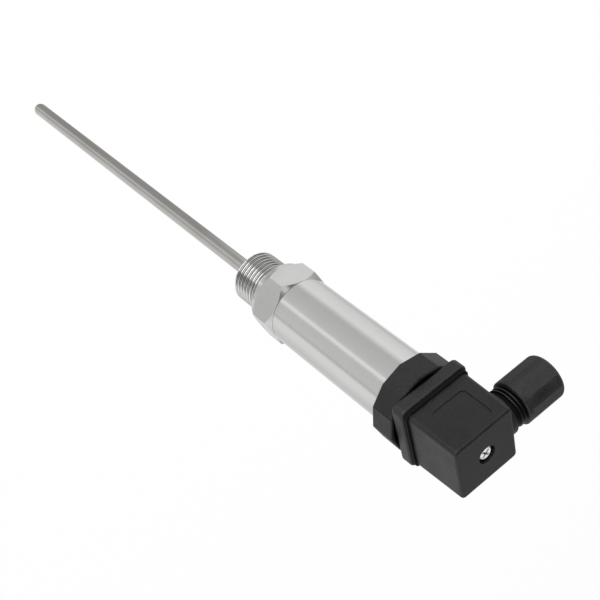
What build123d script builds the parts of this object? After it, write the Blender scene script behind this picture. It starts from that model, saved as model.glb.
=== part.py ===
from build123d import *
import math
import os

os.makedirs("parts", exist_ok=True)

# Frame: origin at the centre of the sealing face of the process fitting, +Z along the axis
# towards the plug, +X towards the cable gland. The stem hangs down, millimetres throughout.

# Stem
STEM_R = 3.0
STEM_WALL = 0.5
INSERTION = 200.0
STEM_IN = 8.0
BORE_CLEAR = 0.01

# Process fitting, a G 1/2 thread with a turned hexagon
THREAD_R = 10.4775
THREAD_LEN = 16.0
THREAD_CHAMFER = 0.8
RING_R = 13.2
RING_H = 1.5
HEX_AF = 27.0
HEX_ARRIS_LOW = 4.2
HEX_ARRIS_HIGH = 11.4
HEX_TURN = 45.0
CAVITY_FLOOR = STEM_IN
SPIGOT_LEN = 6.0
SPIGOT_WALL = 2.1

# Housing tube
TUBE_R = 13.5
TUBE_WALL = 1.2
TUBE_LOW = HEX_ARRIS_HIGH + (HEX_AF / math.sqrt(3) - TUBE_R)
TUBE_HIGH = 79.0
TUBE_BEVEL = 0.25
TUBE_BORE_R = TUBE_R - TUBE_WALL
CAVITY_R = TUBE_BORE_R - SPIGOT_WALL
FIT = 0.02

# Twelve-sided collar
COLLAR_LOW = 73.5
COLLAR_HIGH = 83.0
COLLAR_AC = 2 * TUBE_R + 7.0
COLLAR_SIDES = 12
COLLAR_TURN = 4.1
COLLAR_SPIGOT_LOW = 71.0
COLLAR_WEB = 1.4
MOAT_R = TUBE_R + 1.9
COLLAR_BEVEL = 0.35
RING_SEAL = 1.2

# Connector base
NECK_R = TUBE_BORE_R - 1.8
NECK_LOW = 72.5
CUP_R = NECK_R - 0.8
CUP_TOP = 78.0
FLANGE_LOW = 83.2
FLANGE_HIGH = 88.3
FLANGE_MARGIN = 1.6
FLANGE_CORNER = 2.8
FLANGE_ROUND = 0.9
INSERT_R = 2.1
INSERT_LEN = 7.5

# Contact blades
BLADE_W = 6.3
BLADE_T = 0.8
BLADE_PITCH_R = CUP_R - 0.7
BLADE_LOW = 75.0
BLADE_HIGH = 98.0
TAIL_W = 2.4

# Gasket
GASKET_T = 1.3
GASKET_MARGIN = 0.8
GASKET_CORNER = 2.4

# Plug housing
PLUG_LOW = FLANGE_HIGH + GASKET_T
PLUG_HIGH = 110.8
PLUG_CORNER = 1.7
PLUG_ROUND = 1.0
PLUG_WALL = 1.4
PLUG_DRAFT = 0.45
CAVITY_MARGIN = 1.29
ROOF = 2.2
HEAD_HOLE_R = 3.5
HEAD_SEAT = 107.2
COLUMN_R = 5.0
COLUMN_LOW = 104.6
PANEL_W = 14.6
PANEL_LOW = 93.9
PANEL_HIGH = 108.2
PANEL_DEPTH = 0.3
PANEL_CORNER = 2.0

# Cable gland
GLAND_Z = 102.1
BOSS_R = 8.1
BOSS_H = 2.2
NECK_THREAD_R = 7.6
NECK_ROOT_R = 6.93
NECK_LEN = 14.8
ENTRY_R = 4.4
GROMMET_R = 5.75
GROMMET_DEPTH = 8.0
GROMMET_LEN = 9.2
GROMMET_BORE_R = 3.0
THRUST_T = 1.2
THREAD_SHOWN = 4.8
RUNOUT_IN_NUT = 0.5
NUT_LEN = 17.1
NUT_R = 8.55
NUT_AF = 16.5
NUT_ROUND = 1.8
NUT_BEVEL = 0.3
NUT_HOLE_R = 4.2
THREAD_CLEAR = 0.06

# Terminal block and its metal
BLOCK_CLEAR = 0.3
BLOCK_LOW = 90.4
BLOCK_HIGH = 99.6
CLIP_WALL = 0.4
CLIP_GAP = 0.06
CLIP_W = 7.0
CLIP_LOW = 91.2
CAGE_R = 5.3
CAGE_LEN = 4.2
CAGE_W = 4.4
CAGE_H = 5.2
TERMINAL_HEAD_R = 2.0
TERMINAL_SHANK_R = 1.25

# Retaining screw, M3
SCREW_R = 1.5
SCREW_CLEAR = 0.06
SCREW_LOW = 82.0
HEAD_R = 2.5
HEAD_H = 2.5
SEAL_T = 0.4
SLOT_W = 0.8
SLOT_L = 3.8
SLOT_D = 1.2

# Electronics
SLEEVE_R = TUBE_BORE_R - 0.2
SLEEVE_WALL = 0.4
BOARD_W = 2 * (SLEEVE_R - SLEEVE_WALL) - 3.0
BOARD_T = 1.6
BOARD_STAND = 3.51
BOARD_LEN = 44.0
BOARD_LOW = TUBE_LOW + SPIGOT_LEN + BOARD_STAND
BOARD_HIGH = BOARD_LOW + BOARD_LEN
WIRE_R = 0.3
WIRE_X = 0.9
WIRE_Y = BOARD_T / 2 + WIRE_R + 0.1
ELEMENT_R = 1.6
ELEMENT_LEN = 12.0
CORE_R = STEM_R - STEM_WALL - 0.1

# Widths of the head, from the blades outwards
CLIP_T = BLADE_T + 2 * CLIP_GAP + 2 * CLIP_WALL
CAVITY_W = 2 * (BLADE_PITCH_R + CLIP_T / 2 + CAVITY_MARGIN)
BLOCK_W = CAVITY_W - 2 * BLOCK_CLEAR
PLUG_END_W = CAVITY_W + 2 * PLUG_WALL
PLUG_BASE_W = PLUG_END_W + 2 * PLUG_DRAFT
FLANGE_W = PLUG_BASE_W + 2 * FLANGE_MARGIN
GASKET_W = PLUG_BASE_W + 2 * GASKET_MARGIN

# Places along the gland, from the plug's side outwards
BOSS_END = PLUG_BASE_W / 2 + BOSS_H
NECK_END = BOSS_END + NECK_LEN
NUT_LOW = BOSS_END + THREAD_SHOWN
NUT_HIGH = NUT_LOW + NUT_LEN
GROMMET_SEAT = NECK_END - GROMMET_DEPTH


def square(width, corner):
    return RectangleRounded(width, width, corner)


# Stem: a closed tube with a hemispherical tip, brazed into the fitting.
STEM_CENTRE = -INSERTION + STEM_R
with BuildPart() as stem_sheath:
    with BuildSketch(Plane.XY.offset(STEM_CENTRE)):
        Circle(STEM_R)
    extrude(amount=STEM_IN - STEM_CENTRE)
    with Locations((0, 0, STEM_CENTRE)):
        Sphere(STEM_R)
    with BuildSketch(Plane.XY.offset(STEM_CENTRE)):
        Circle(STEM_R - STEM_WALL)
    extrude(amount=STEM_IN - STEM_CENTRE, mode=Mode.SUBTRACT)
    with Locations((0, 0, STEM_CENTRE)):
        Sphere(STEM_R - STEM_WALL, mode=Mode.SUBTRACT)
stem_sheath.part.label = "stem_sheath"
export_step(stem_sheath.part, "parts/stem_sheath.step")

# Sensing element: a wire-wound ceramic body at the tip.
ELEMENT_LOW = STEM_CENTRE - 1.0
with BuildPart() as sensing_element:
    with BuildSketch(Plane.XY.offset(ELEMENT_LOW)):
        Circle(ELEMENT_R)
    extrude(amount=ELEMENT_LEN)
sensing_element.part.label = "sensing_element"
export_step(sensing_element.part, "parts/sensing_element.step")

# Four-bore ceramic insulator that carries the element's wires up the stem.
CORE_LOW = ELEMENT_LOW + ELEMENT_LEN + 0.5
CORE_HIGH = 1.0
with BuildPart() as stem_insulator:
    with BuildSketch(Plane.XY.offset(CORE_LOW)):
        Circle(CORE_R)
        with GridLocations(2 * WIRE_X, 2 * WIRE_Y, 2, 2):
            Circle(WIRE_R + 0.1, mode=Mode.SUBTRACT)
    extrude(amount=CORE_HIGH - CORE_LOW)
stem_insulator.part.label = "stem_insulator"
export_step(stem_insulator.part, "parts/stem_insulator.step")

# Resin stopper that closes the stem above the insulator.
with BuildPart() as stem_stopper:
    with BuildSketch(Plane.XY.offset(CORE_HIGH)):
        Circle(STEM_R - STEM_WALL)
        with GridLocations(2 * WIRE_X, 2 * WIRE_Y, 2, 2):
            Circle(WIRE_R, mode=Mode.SUBTRACT)
    extrude(amount=STEM_IN - 0.6 - CORE_HIGH)
stem_stopper.part.label = "stem_stopper"
export_step(stem_stopper.part, "parts/stem_stopper.step")

# Four wires from the element to the foot of the board.
with BuildPart() as sensing_wires:
    with BuildSketch(Plane.XY.offset(ELEMENT_LOW + ELEMENT_LEN)):
        with GridLocations(2 * WIRE_X, 2 * WIRE_Y, 2, 2):
            Circle(WIRE_R)
    extrude(amount=BOARD_LOW + 4.0 - ELEMENT_LOW - ELEMENT_LEN)
sensing_wires.part.label = "sensing_wires"
export_step(sensing_wires.part, "parts/sensing_wires.step")

# Process fitting: threaded end, sealing ring, turned hexagon and spigot in one piece.
HEX_R = HEX_AF / math.sqrt(3)
with BuildPart() as process_fitting:
    with BuildSketch(Plane.XY):
        RegularPolygon(radius=HEX_R, side_count=6, rotation=HEX_TURN)
    extrude(amount=TUBE_LOW)
    with BuildSketch(Plane.XZ):
        with BuildLine():
            Polyline(
                (0, 0),
                (RING_R, 0),
                (RING_R, RING_H),
                (HEX_R, HEX_ARRIS_LOW),
                (HEX_R, HEX_ARRIS_HIGH),
                (TUBE_R, TUBE_LOW),
                (0, TUBE_LOW),
                close=True,
            )
        make_face()
    revolve(axis=Axis.Z, mode=Mode.INTERSECT)
    with BuildSketch(Plane.XZ):
        with BuildLine():
            Polyline(
                (0, 0),
                (0, -THREAD_LEN),
                (THREAD_R - THREAD_CHAMFER, -THREAD_LEN),
                (THREAD_R, -THREAD_LEN + THREAD_CHAMFER),
                (THREAD_R, 0),
                close=True,
            )
        make_face()
    revolve(axis=Axis.Z)
    with BuildSketch(Plane.XY.offset(TUBE_LOW)):
        Circle(TUBE_BORE_R - FIT)
    extrude(amount=SPIGOT_LEN)
    with BuildSketch(Plane.XY.offset(CAVITY_FLOOR)):
        Circle(CAVITY_R)
    extrude(amount=TUBE_LOW + SPIGOT_LEN - CAVITY_FLOOR, mode=Mode.SUBTRACT)
    with BuildSketch(Plane.XY.offset(-THREAD_LEN)):
        Circle(STEM_R + BORE_CLEAR)
    extrude(amount=THREAD_LEN + CAVITY_FLOOR, mode=Mode.SUBTRACT)
process_fitting.part.label = "process_fitting"
export_step(process_fitting.part, "parts/process_fitting.step")

# Housing tube, open at both ends.
with BuildPart() as housing_tube:
    with BuildSketch(Plane.XY.offset(TUBE_LOW)):
        Circle(TUBE_R)
        Circle(TUBE_BORE_R, mode=Mode.SUBTRACT)
    extrude(amount=TUBE_HIGH - TUBE_LOW)
    rims = housing_tube.edges().filter_by(GeomType.CIRCLE).group_by(SortBy.RADIUS)[-1]
    chamfer(rims.sort_by(Axis.Z)[0], TUBE_BEVEL)
housing_tube.part.label = "housing_tube"
export_step(housing_tube.part, "parts/housing_tube.step")

# Insulating sleeve inside the tube.
SLEEVE_LOW = TUBE_LOW + SPIGOT_LEN + 0.3
SLEEVE_HIGH = COLLAR_SPIGOT_LOW - 0.3
with BuildPart() as insulating_sleeve:
    with BuildSketch(Plane.XY.offset(SLEEVE_LOW)):
        Circle(SLEEVE_R)
        Circle(SLEEVE_R - SLEEVE_WALL, mode=Mode.SUBTRACT)
    extrude(amount=SLEEVE_HIGH - SLEEVE_LOW)
insulating_sleeve.part.label = "insulating_sleeve"
export_step(insulating_sleeve.part, "parts/insulating_sleeve.step")

# Board guide: a disc that centres the foot of the board in the sleeve.
GUIDE_H = 3.0
GUIDE_SLOT_DEPTH = 1.5
GUIDE_HOLE_R = 4.0
EARTH_WIRE_R = 0.5
EARTH_WIRE_GAP = 0.2
with BuildPart() as board_guide:
    with BuildSketch(Plane.XY.offset(BOARD_LOW - GUIDE_H + GUIDE_SLOT_DEPTH)):
        Circle(SLEEVE_R - SLEEVE_WALL - 0.1)
        Circle(GUIDE_HOLE_R, mode=Mode.SUBTRACT)
        with Locations((0, -BLADE_PITCH_R)):
            Circle(EARTH_WIRE_R + EARTH_WIRE_GAP, mode=Mode.SUBTRACT)
    extrude(amount=GUIDE_H)
    with BuildSketch(Plane.XY.offset(BOARD_LOW)):
        Rectangle(BOARD_W + 0.2, BOARD_T + 0.1)
    extrude(amount=GUIDE_SLOT_DEPTH, mode=Mode.SUBTRACT)
board_guide.part.label = "board_guide"
export_step(board_guide.part, "parts/board_guide.step")

# Signal board, upright in the tube.
with BuildPart() as signal_board:
    with BuildSketch(Plane.XY.offset(BOARD_LOW)):
        Rectangle(BOARD_W, BOARD_T)
    extrude(amount=BOARD_HIGH - BOARD_LOW)
signal_board.part.label = "signal_board"
export_step(signal_board.part, "parts/signal_board.step")

# Components on both sides of the board: (x, height on the board, width, height, thickness, side)
CHIPS = [
    (0.0, 15.0, 8.0, 8.0, 1.4, 1),
    (5.5, 27.0, 4.0, 5.0, 1.6, 1),
    (-5.5, 27.0, 5.0, 4.0, 1.6, 1),
    (0.0, 36.0, 6.5, 5.0, 2.3, 1),
    (-6.5, 9.0, 2.0, 1.3, 0.8, 1),
    (6.5, 9.0, 2.0, 1.3, 0.8, 1),
    (0.0, 23.0, 5.0, 6.0, 1.6, -1),
    (5.0, 34.0, 4.3, 7.0, 2.8, -1),
    (-5.0, 34.0, 4.3, 7.0, 2.8, -1),
    (0.0, 12.0, 3.2, 1.6, 0.8, -1),
]
with BuildPart() as board_components:
    for x, z, w, h, t, side in CHIPS:
        with Locations((x, side * (BOARD_T + t) / 2, BOARD_LOW + z)):
            Box(w, t, h)
board_components.part.label = "board_components"
export_step(board_components.part, "parts/board_components.step")

# Collar: twelve-sided outside, holds the tube's end, with a deep recess on the plug side.
COLLAR_FLOOR = TUBE_HIGH + COLLAR_WEB
with BuildPart() as collar:
    with BuildSketch(Plane.XY.offset(COLLAR_LOW)):
        RegularPolygon(radius=COLLAR_AC / 2, side_count=COLLAR_SIDES, rotation=COLLAR_TURN)
    extrude(amount=COLLAR_HIGH - COLLAR_LOW)
    ends = collar.faces().sort_by(Axis.Z)
    chamfer(ends[0].edges() + ends[-1].edges(), COLLAR_BEVEL)
    with BuildSketch(Plane.XY.offset(COLLAR_LOW)):
        Circle(TUBE_R + FIT)
    extrude(amount=TUBE_HIGH - COLLAR_LOW, mode=Mode.SUBTRACT)
    with BuildSketch(Plane.XY.offset(COLLAR_FLOOR)):
        Circle(MOAT_R)
    extrude(amount=COLLAR_HIGH - COLLAR_FLOOR, mode=Mode.SUBTRACT)
    with BuildSketch(Plane.XY.offset(COLLAR_SPIGOT_LOW)):
        Circle(TUBE_BORE_R - FIT)
    extrude(amount=COLLAR_FLOOR - COLLAR_SPIGOT_LOW)
    with BuildSketch(Plane.XY.offset(COLLAR_SPIGOT_LOW + 1.0)):
        Circle(TUBE_BORE_R)
        Circle(TUBE_BORE_R - RING_SEAL * 0.8, mode=Mode.SUBTRACT)
    extrude(amount=RING_SEAL * 1.15, mode=Mode.SUBTRACT)
    with BuildSketch(Plane.XY.offset(COLLAR_SPIGOT_LOW)):
        Circle(NECK_R + FIT)
    extrude(amount=COLLAR_FLOOR - COLLAR_SPIGOT_LOW, mode=Mode.SUBTRACT)
collar.part.label = "collar"
export_step(collar.part, "parts/collar.step")

# O-ring between the collar's spigot and the tube.
SEAL_HALF = RING_SEAL * 0.8 / 2
with BuildPart() as tube_seal:
    with Locations((0, 0, COLLAR_SPIGOT_LOW + 1.0 + RING_SEAL * 1.15 / 2)):
        Torus(TUBE_BORE_R - SEAL_HALF, SEAL_HALF)
tube_seal.part.label = "tube_seal"
export_step(tube_seal.part, "parts/tube_seal.step")

# Connector base: round neck, square flange, slots for the blades, blind hole for the insert.
with BuildPart() as connector_base:
    with BuildSketch(Plane.XY.offset(FLANGE_LOW)):
        square(FLANGE_W, FLANGE_CORNER)
    extrude(amount=FLANGE_HIGH - FLANGE_LOW)
    ends = connector_base.faces().sort_by(Axis.Z)
    fillet(ends[0].edges() + ends[-1].edges(), FLANGE_ROUND)
    with BuildSketch(Plane.XY.offset(NECK_LOW)):
        Circle(NECK_R)
    extrude(amount=FLANGE_LOW - NECK_LOW)
    with BuildSketch(Plane.XY.offset(NECK_LOW)):
        Circle(CUP_R)
    extrude(amount=CUP_TOP - NECK_LOW, mode=Mode.SUBTRACT)
    with BuildSketch(Plane.XY.offset(CUP_TOP)):
        with PolarLocations(BLADE_PITCH_R, 4):
            Rectangle(BLADE_T + FIT, BLADE_W + FIT)
    extrude(amount=FLANGE_HIGH - CUP_TOP, mode=Mode.SUBTRACT)
    with BuildSketch(Plane.XY.offset(FLANGE_HIGH)):
        Circle(INSERT_R + FIT)
    extrude(amount=-INSERT_LEN, mode=Mode.SUBTRACT)
connector_base.part.label = "connector_base"
export_step(connector_base.part, "parts/connector_base.step")

# Brass insert for the retaining screw.
with BuildPart() as threaded_insert:
    with BuildSketch(Plane.XY.offset(FLANGE_HIGH)):
        Circle(INSERT_R)
        Circle(SCREW_R + SCREW_CLEAR, mode=Mode.SUBTRACT)
    extrude(amount=-INSERT_LEN)
threaded_insert.part.label = "threaded_insert"
export_step(threaded_insert.part, "parts/threaded_insert.step")

# Three signal blades and one earth blade, each flat blade square to a radius.
BLADE_ANGLES = [0, 90, 180]
EARTH_ANGLE = 270
with BuildPart() as signal_blades:
    with BuildSketch(Plane.XY.offset(CUP_TOP)):
        for angle in BLADE_ANGLES:
            with PolarLocations(BLADE_PITCH_R, 1, start_angle=angle):
                Rectangle(BLADE_T, BLADE_W)
    extrude(amount=BLADE_HIGH - CUP_TOP)
    with BuildSketch(Plane.XY.offset(BLADE_LOW)):
        for angle in BLADE_ANGLES:
            with PolarLocations(BLADE_PITCH_R, 1, start_angle=angle):
                Rectangle(BLADE_T, TAIL_W)
    extrude(amount=CUP_TOP - BLADE_LOW)
    tops = signal_blades.faces().sort_by(Axis.Z)[-3:]
    chamfer(tops.edges().filter_by(lambda e: e.length > BLADE_W - 0.1), 0.3)
signal_blades.part.label = "signal_blades"
export_step(signal_blades.part, "parts/signal_blades.step")

with BuildPart() as earth_blade:
    with BuildSketch(Plane.XY.offset(CUP_TOP)):
        with PolarLocations(BLADE_PITCH_R, 1, start_angle=EARTH_ANGLE):
            Rectangle(BLADE_T, BLADE_W)
    extrude(amount=BLADE_HIGH - CUP_TOP)
    with BuildSketch(Plane.XY.offset(BLADE_LOW)):
        with PolarLocations(BLADE_PITCH_R, 1, start_angle=EARTH_ANGLE):
            Rectangle(BLADE_T, TAIL_W)
    extrude(amount=CUP_TOP - BLADE_LOW)
    tops = earth_blade.faces().sort_by(Axis.Z)[-1:]
    chamfer(tops.edges().filter_by(lambda e: e.length > BLADE_W - 0.1), 0.3)
earth_blade.part.label = "earth_blade"
export_step(earth_blade.part, "parts/earth_blade.step")

# Two output wires from the head of the board to the blades on the X axis.
OUT_X = BLADE_PITCH_R
with BuildPart() as output_wires:
    with BuildSketch(Plane.XY.offset(BOARD_HIGH - 4.0)):
        with Locations((OUT_X, WIRE_Y), (-OUT_X, WIRE_Y)):
            Circle(WIRE_R)
    extrude(amount=BLADE_LOW - BOARD_HIGH + 4.0)
output_wires.part.label = "output_wires"
export_step(output_wires.part, "parts/output_wires.step")

# Earth wire from the earth blade down to the floor of the process fitting.
with BuildPart() as earth_wire:
    with BuildSketch(Plane.XY.offset(CAVITY_FLOOR)):
        with Locations((0, -BLADE_PITCH_R)):
            Circle(EARTH_WIRE_R)
    extrude(amount=BLADE_LOW - CAVITY_FLOOR)
earth_wire.part.label = "earth_wire"
export_step(earth_wire.part, "parts/earth_wire.step")

# Flat gasket between the flange and the plug.
with BuildPart() as plug_gasket:
    with BuildSketch(Plane.XY.offset(FLANGE_HIGH)):
        square(GASKET_W, GASKET_CORNER)
        with PolarLocations(BLADE_PITCH_R, 4):
            Rectangle(BLADE_T + 0.8, BLADE_W + 0.8, mode=Mode.SUBTRACT)
        Circle(SCREW_R + 0.5, mode=Mode.SUBTRACT)
    extrude(amount=GASKET_T)
plug_gasket.part.label = "plug_gasket"
export_step(plug_gasket.part, "parts/plug_gasket.step")

# Plug housing: slightly tapered box with the gland's boss and threaded neck on the +X side.
GLAND = Plane(origin=(0, 0, GLAND_Z), x_dir=(0, 1, 0), z_dir=(1, 0, 0))
with BuildPart() as plug_housing:
    with BuildSketch(Plane.XY.offset(PLUG_LOW)):
        square(PLUG_BASE_W, PLUG_CORNER)
    with BuildSketch(Plane.XY.offset(PLUG_HIGH)):
        square(PLUG_END_W, PLUG_CORNER)
    loft()
    fillet(plug_housing.faces().sort_by(Axis.Z)[-1].edges(), PLUG_ROUND)
    with BuildSketch(GLAND):
        Circle(BOSS_R)
    extrude(amount=BOSS_END)
    fillet(plug_housing.faces().sort_by(Axis.X)[-1].edges(), 0.5)
    with BuildSketch(GLAND):
        Circle(NECK_THREAD_R)
    extrude(amount=NECK_END)
    chamfer(plug_housing.faces().sort_by(Axis.X)[-1].edges(), 0.5)
    # run-out of the neck's thread, cut to the thread's root between boss and nut
    with BuildSketch(GLAND.offset(BOSS_END)):
        Circle(BOSS_R)
        Circle(NECK_ROOT_R, mode=Mode.SUBTRACT)
    extrude(amount=NUT_LOW + RUNOUT_IN_NUT - BOSS_END, mode=Mode.SUBTRACT)
    with BuildSketch(Plane.XY.offset(PLUG_LOW)):
        square(CAVITY_W, 0.8)
    extrude(amount=PLUG_HIGH - ROOF - PLUG_LOW, mode=Mode.SUBTRACT)
    with BuildSketch(GLAND):
        Circle(ENTRY_R)
    extrude(amount=NECK_END, mode=Mode.SUBTRACT)
    with BuildSketch(GLAND.offset(GROMMET_SEAT)):
        Circle(GROMMET_R + 0.05)
    extrude(amount=NECK_END - GROMMET_SEAT, mode=Mode.SUBTRACT)
    with BuildSketch(Plane.XY.offset(PLUG_HIGH - ROOF)):
        Circle(COLUMN_R)
    extrude(amount=COLUMN_LOW - PLUG_HIGH + ROOF)
    with BuildSketch(Plane.XY.offset(HEAD_SEAT)):
        Circle(HEAD_HOLE_R)
    extrude(amount=PLUG_HIGH - HEAD_SEAT, mode=Mode.SUBTRACT)
    with BuildSketch(Plane.XY.offset(COLUMN_LOW)):
        Circle(SCREW_R + 0.2)
    extrude(amount=HEAD_SEAT - COLUMN_LOW, mode=Mode.SUBTRACT)
    # the shallow panel on the +Y side follows the side's taper
    slope = math.degrees(math.atan(PLUG_DRAFT / (PLUG_HIGH - PLUG_LOW)))
    mid = (PANEL_LOW + PANEL_HIGH) / 2
    side = PLUG_BASE_W / 2 - (mid - PLUG_LOW) * math.tan(math.radians(slope))
    face_up = Vector(0, math.cos(math.radians(slope)), math.sin(math.radians(slope)))
    PANEL = Plane(origin=(0, side, mid), x_dir=(-1, 0, 0), z_dir=face_up)
    with BuildSketch(PANEL):
        RectangleRounded(PANEL_W, PANEL_HIGH - PANEL_LOW, PANEL_CORNER)
    extrude(amount=-PANEL_DEPTH, mode=Mode.SUBTRACT)
plug_housing.part.label = "plug_housing"
export_step(plug_housing.part, "parts/plug_housing.step")

# Terminal block with a pocket for each contact and a hole for the retaining screw.
CAGE_LOW = BLOCK_HIGH - CAGE_H
CAGE_INNER = CAGE_R - CAGE_LEN / 2
CLIP_INNER = BLADE_PITCH_R - CLIP_T / 2
with BuildPart() as terminal_block:
    with BuildSketch(Plane.XY.offset(BLOCK_LOW)):
        square(BLOCK_W, 0.6)
    extrude(amount=BLOCK_HIGH - BLOCK_LOW)
    with BuildSketch(Plane.XY.offset(CLIP_LOW)):
        with PolarLocations(BLADE_PITCH_R, 4):
            Rectangle(CLIP_T + FIT, CLIP_W + FIT)
    extrude(amount=BLOCK_HIGH - CLIP_LOW, mode=Mode.SUBTRACT)
    with BuildSketch(Plane.XY.offset(BLOCK_LOW)):
        with PolarLocations(BLADE_PITCH_R, 4):
            Rectangle(BLADE_T + 0.6, BLADE_W + 0.6)
    extrude(amount=CLIP_LOW - BLOCK_LOW, mode=Mode.SUBTRACT)
    with BuildSketch(Plane.XY.offset(CAGE_LOW)):
        with PolarLocations((CAGE_INNER + CLIP_INNER) / 2, 4):
            Rectangle(CLIP_INNER - CAGE_INNER + FIT, CAGE_W + FIT)
    extrude(amount=CAGE_H, mode=Mode.SUBTRACT)
    with BuildSketch(Plane.XY.offset(BLOCK_LOW)):
        Circle(SCREW_R + 0.3)
    extrude(amount=BLOCK_HIGH - BLOCK_LOW, mode=Mode.SUBTRACT)
terminal_block.part.label = "terminal_block"
export_step(terminal_block.part, "parts/terminal_block.step")

# Four socket contacts: a spring clip over each blade with a clamp cage towards the centre.
with BuildPart() as socket_contacts:
    with BuildSketch(Plane.XY.offset(CLIP_LOW)):
        with PolarLocations(BLADE_PITCH_R, 4):
            Rectangle(CLIP_T, CLIP_W)
            Rectangle(BLADE_T + 2 * CLIP_GAP, CLIP_W, mode=Mode.SUBTRACT)
    extrude(amount=BLOCK_HIGH - CLIP_LOW)
    with BuildSketch(Plane.XY.offset(BLOCK_HIGH - CLIP_WALL)):
        with PolarLocations(BLADE_PITCH_R, 4):
            Rectangle(CLIP_T, CLIP_W)
    extrude(amount=CLIP_WALL)
    with BuildSketch(Plane.XY.offset(CAGE_LOW)):
        with PolarLocations((CAGE_INNER + CLIP_INNER) / 2, 4):
            Rectangle(CLIP_INNER - CAGE_INNER, CAGE_W)
    extrude(amount=CAGE_H)
    with BuildSketch(Plane.XY.offset(BLOCK_HIGH)):
        with PolarLocations(CAGE_R, 4):
            Circle(TERMINAL_SHANK_R + 0.02)
    extrude(amount=-CAGE_H + 1.0, mode=Mode.SUBTRACT)
socket_contacts.part.label = "socket_contacts"
export_step(socket_contacts.part, "parts/socket_contacts.step")

# Four slotted terminal screws.
with BuildPart() as terminal_screws:
    with BuildSketch(Plane.XY.offset(BLOCK_HIGH - 3.0)):
        with PolarLocations(CAGE_R, 4):
            Circle(TERMINAL_SHANK_R)
    extrude(amount=3.4)
    with BuildSketch(Plane.XY.offset(BLOCK_HIGH + 0.4)):
        with PolarLocations(CAGE_R, 4):
            Circle(TERMINAL_HEAD_R)
    extrude(amount=1.6)
    with BuildSketch(Plane.XY.offset(BLOCK_HIGH + 1.3)):
        with PolarLocations(CAGE_R, 4):
            Rectangle(2 * TERMINAL_HEAD_R, 0.6)
    extrude(amount=0.7, mode=Mode.SUBTRACT)
terminal_screws.part.label = "terminal_screws"
export_step(terminal_screws.part, "parts/terminal_screws.step")

# Seal ring under the retaining screw's head.
with BuildPart() as screw_seal:
    with BuildSketch(Plane.XY.offset(HEAD_SEAT)):
        Circle(HEAD_R + 0.3)
        Circle(SCREW_R + 0.1, mode=Mode.SUBTRACT)
    extrude(amount=SEAL_T)
screw_seal.part.label = "screw_seal"
export_step(screw_seal.part, "parts/screw_seal.step")

# Retaining screw: long M3 with a cross-slotted cheese head.
HEAD_LOW = HEAD_SEAT + SEAL_T
with BuildPart() as retaining_screw:
    with BuildSketch(Plane.XY.offset(SCREW_LOW)):
        Circle(SCREW_R)
    extrude(amount=HEAD_LOW - SCREW_LOW)
    chamfer(retaining_screw.faces().sort_by(Axis.Z)[0].edges(), 0.4)
    with BuildSketch(Plane.XY.offset(HEAD_LOW)):
        Circle(HEAD_R)
    extrude(amount=HEAD_H)
    chamfer(retaining_screw.faces().sort_by(Axis.Z)[-1].edges(), 0.35)
    with BuildSketch(Plane.XY.offset(HEAD_LOW + HEAD_H)):
        Rectangle(SLOT_L, SLOT_W, rotation=40)
        Rectangle(SLOT_L, SLOT_W, rotation=130)
    extrude(amount=-SLOT_D, mode=Mode.SUBTRACT)
retaining_screw.part.label = "retaining_screw"
export_step(retaining_screw.part, "parts/retaining_screw.step")

# Rubber grommet in the gland's neck.
with BuildPart() as gland_grommet:
    with BuildSketch(GLAND.offset(GROMMET_SEAT)):
        Circle(GROMMET_R)
        Circle(GROMMET_BORE_R, mode=Mode.SUBTRACT)
    extrude(amount=GROMMET_LEN)
    outer = gland_grommet.faces().sort_by(Axis.X)[-1].edges().sort_by(SortBy.RADIUS)[-1]
    chamfer(outer, 0.8)
gland_grommet.part.label = "gland_grommet"
export_step(gland_grommet.part, "parts/gland_grommet.step")

# Thrust ring between the grommet and the nut.
THRUST_LOW = GROMMET_SEAT + GROMMET_LEN
with BuildPart() as thrust_ring:
    with BuildSketch(GLAND.offset(THRUST_LOW)):
        Circle(GROMMET_R + 0.4)
        Circle(NUT_HOLE_R - 0.4, mode=Mode.SUBTRACT)
    extrude(amount=THRUST_T)
thrust_ring.part.label = "thrust_ring"
export_step(thrust_ring.part, "parts/thrust_ring.step")

# Gland nut: a round cap with six shallow flats and a rounded mouth.
with BuildPart() as gland_nut:
    with BuildSketch(GLAND.offset(NUT_LOW)):
        Circle(NUT_R)
    extrude(amount=NUT_HIGH - NUT_LOW)
    fillet(gland_nut.faces().sort_by(Axis.X)[-1].edges(), NUT_ROUND)
    chamfer(gland_nut.faces().sort_by(Axis.X)[0].edges(), NUT_BEVEL)
    with BuildSketch(GLAND.offset(NUT_LOW + 2.0)):
        Circle(NUT_R + 1.0)
        RegularPolygon(radius=NUT_AF / 2, side_count=6, major_radius=False, mode=Mode.SUBTRACT)
    extrude(amount=NUT_HIGH - NUT_LOW - 2.0, mode=Mode.SUBTRACT)
    with BuildSketch(GLAND.offset(NUT_LOW)):
        Circle(NECK_THREAD_R + THREAD_CLEAR)
    extrude(amount=THRUST_LOW + THRUST_T - NUT_LOW, mode=Mode.SUBTRACT)
    with BuildSketch(GLAND.offset(NUT_LOW)):
        Circle(NUT_HOLE_R)
    extrude(amount=NUT_HIGH - NUT_LOW, mode=Mode.SUBTRACT)
    mouth = gland_nut.faces().sort_by(Axis.X)[-1].edges().sort_by(SortBy.RADIUS)[0]
    chamfer(mouth, 0.8)
gland_nut.part.label = "gland_nut"
export_step(gland_nut.part, "parts/gland_nut.step")
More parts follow.
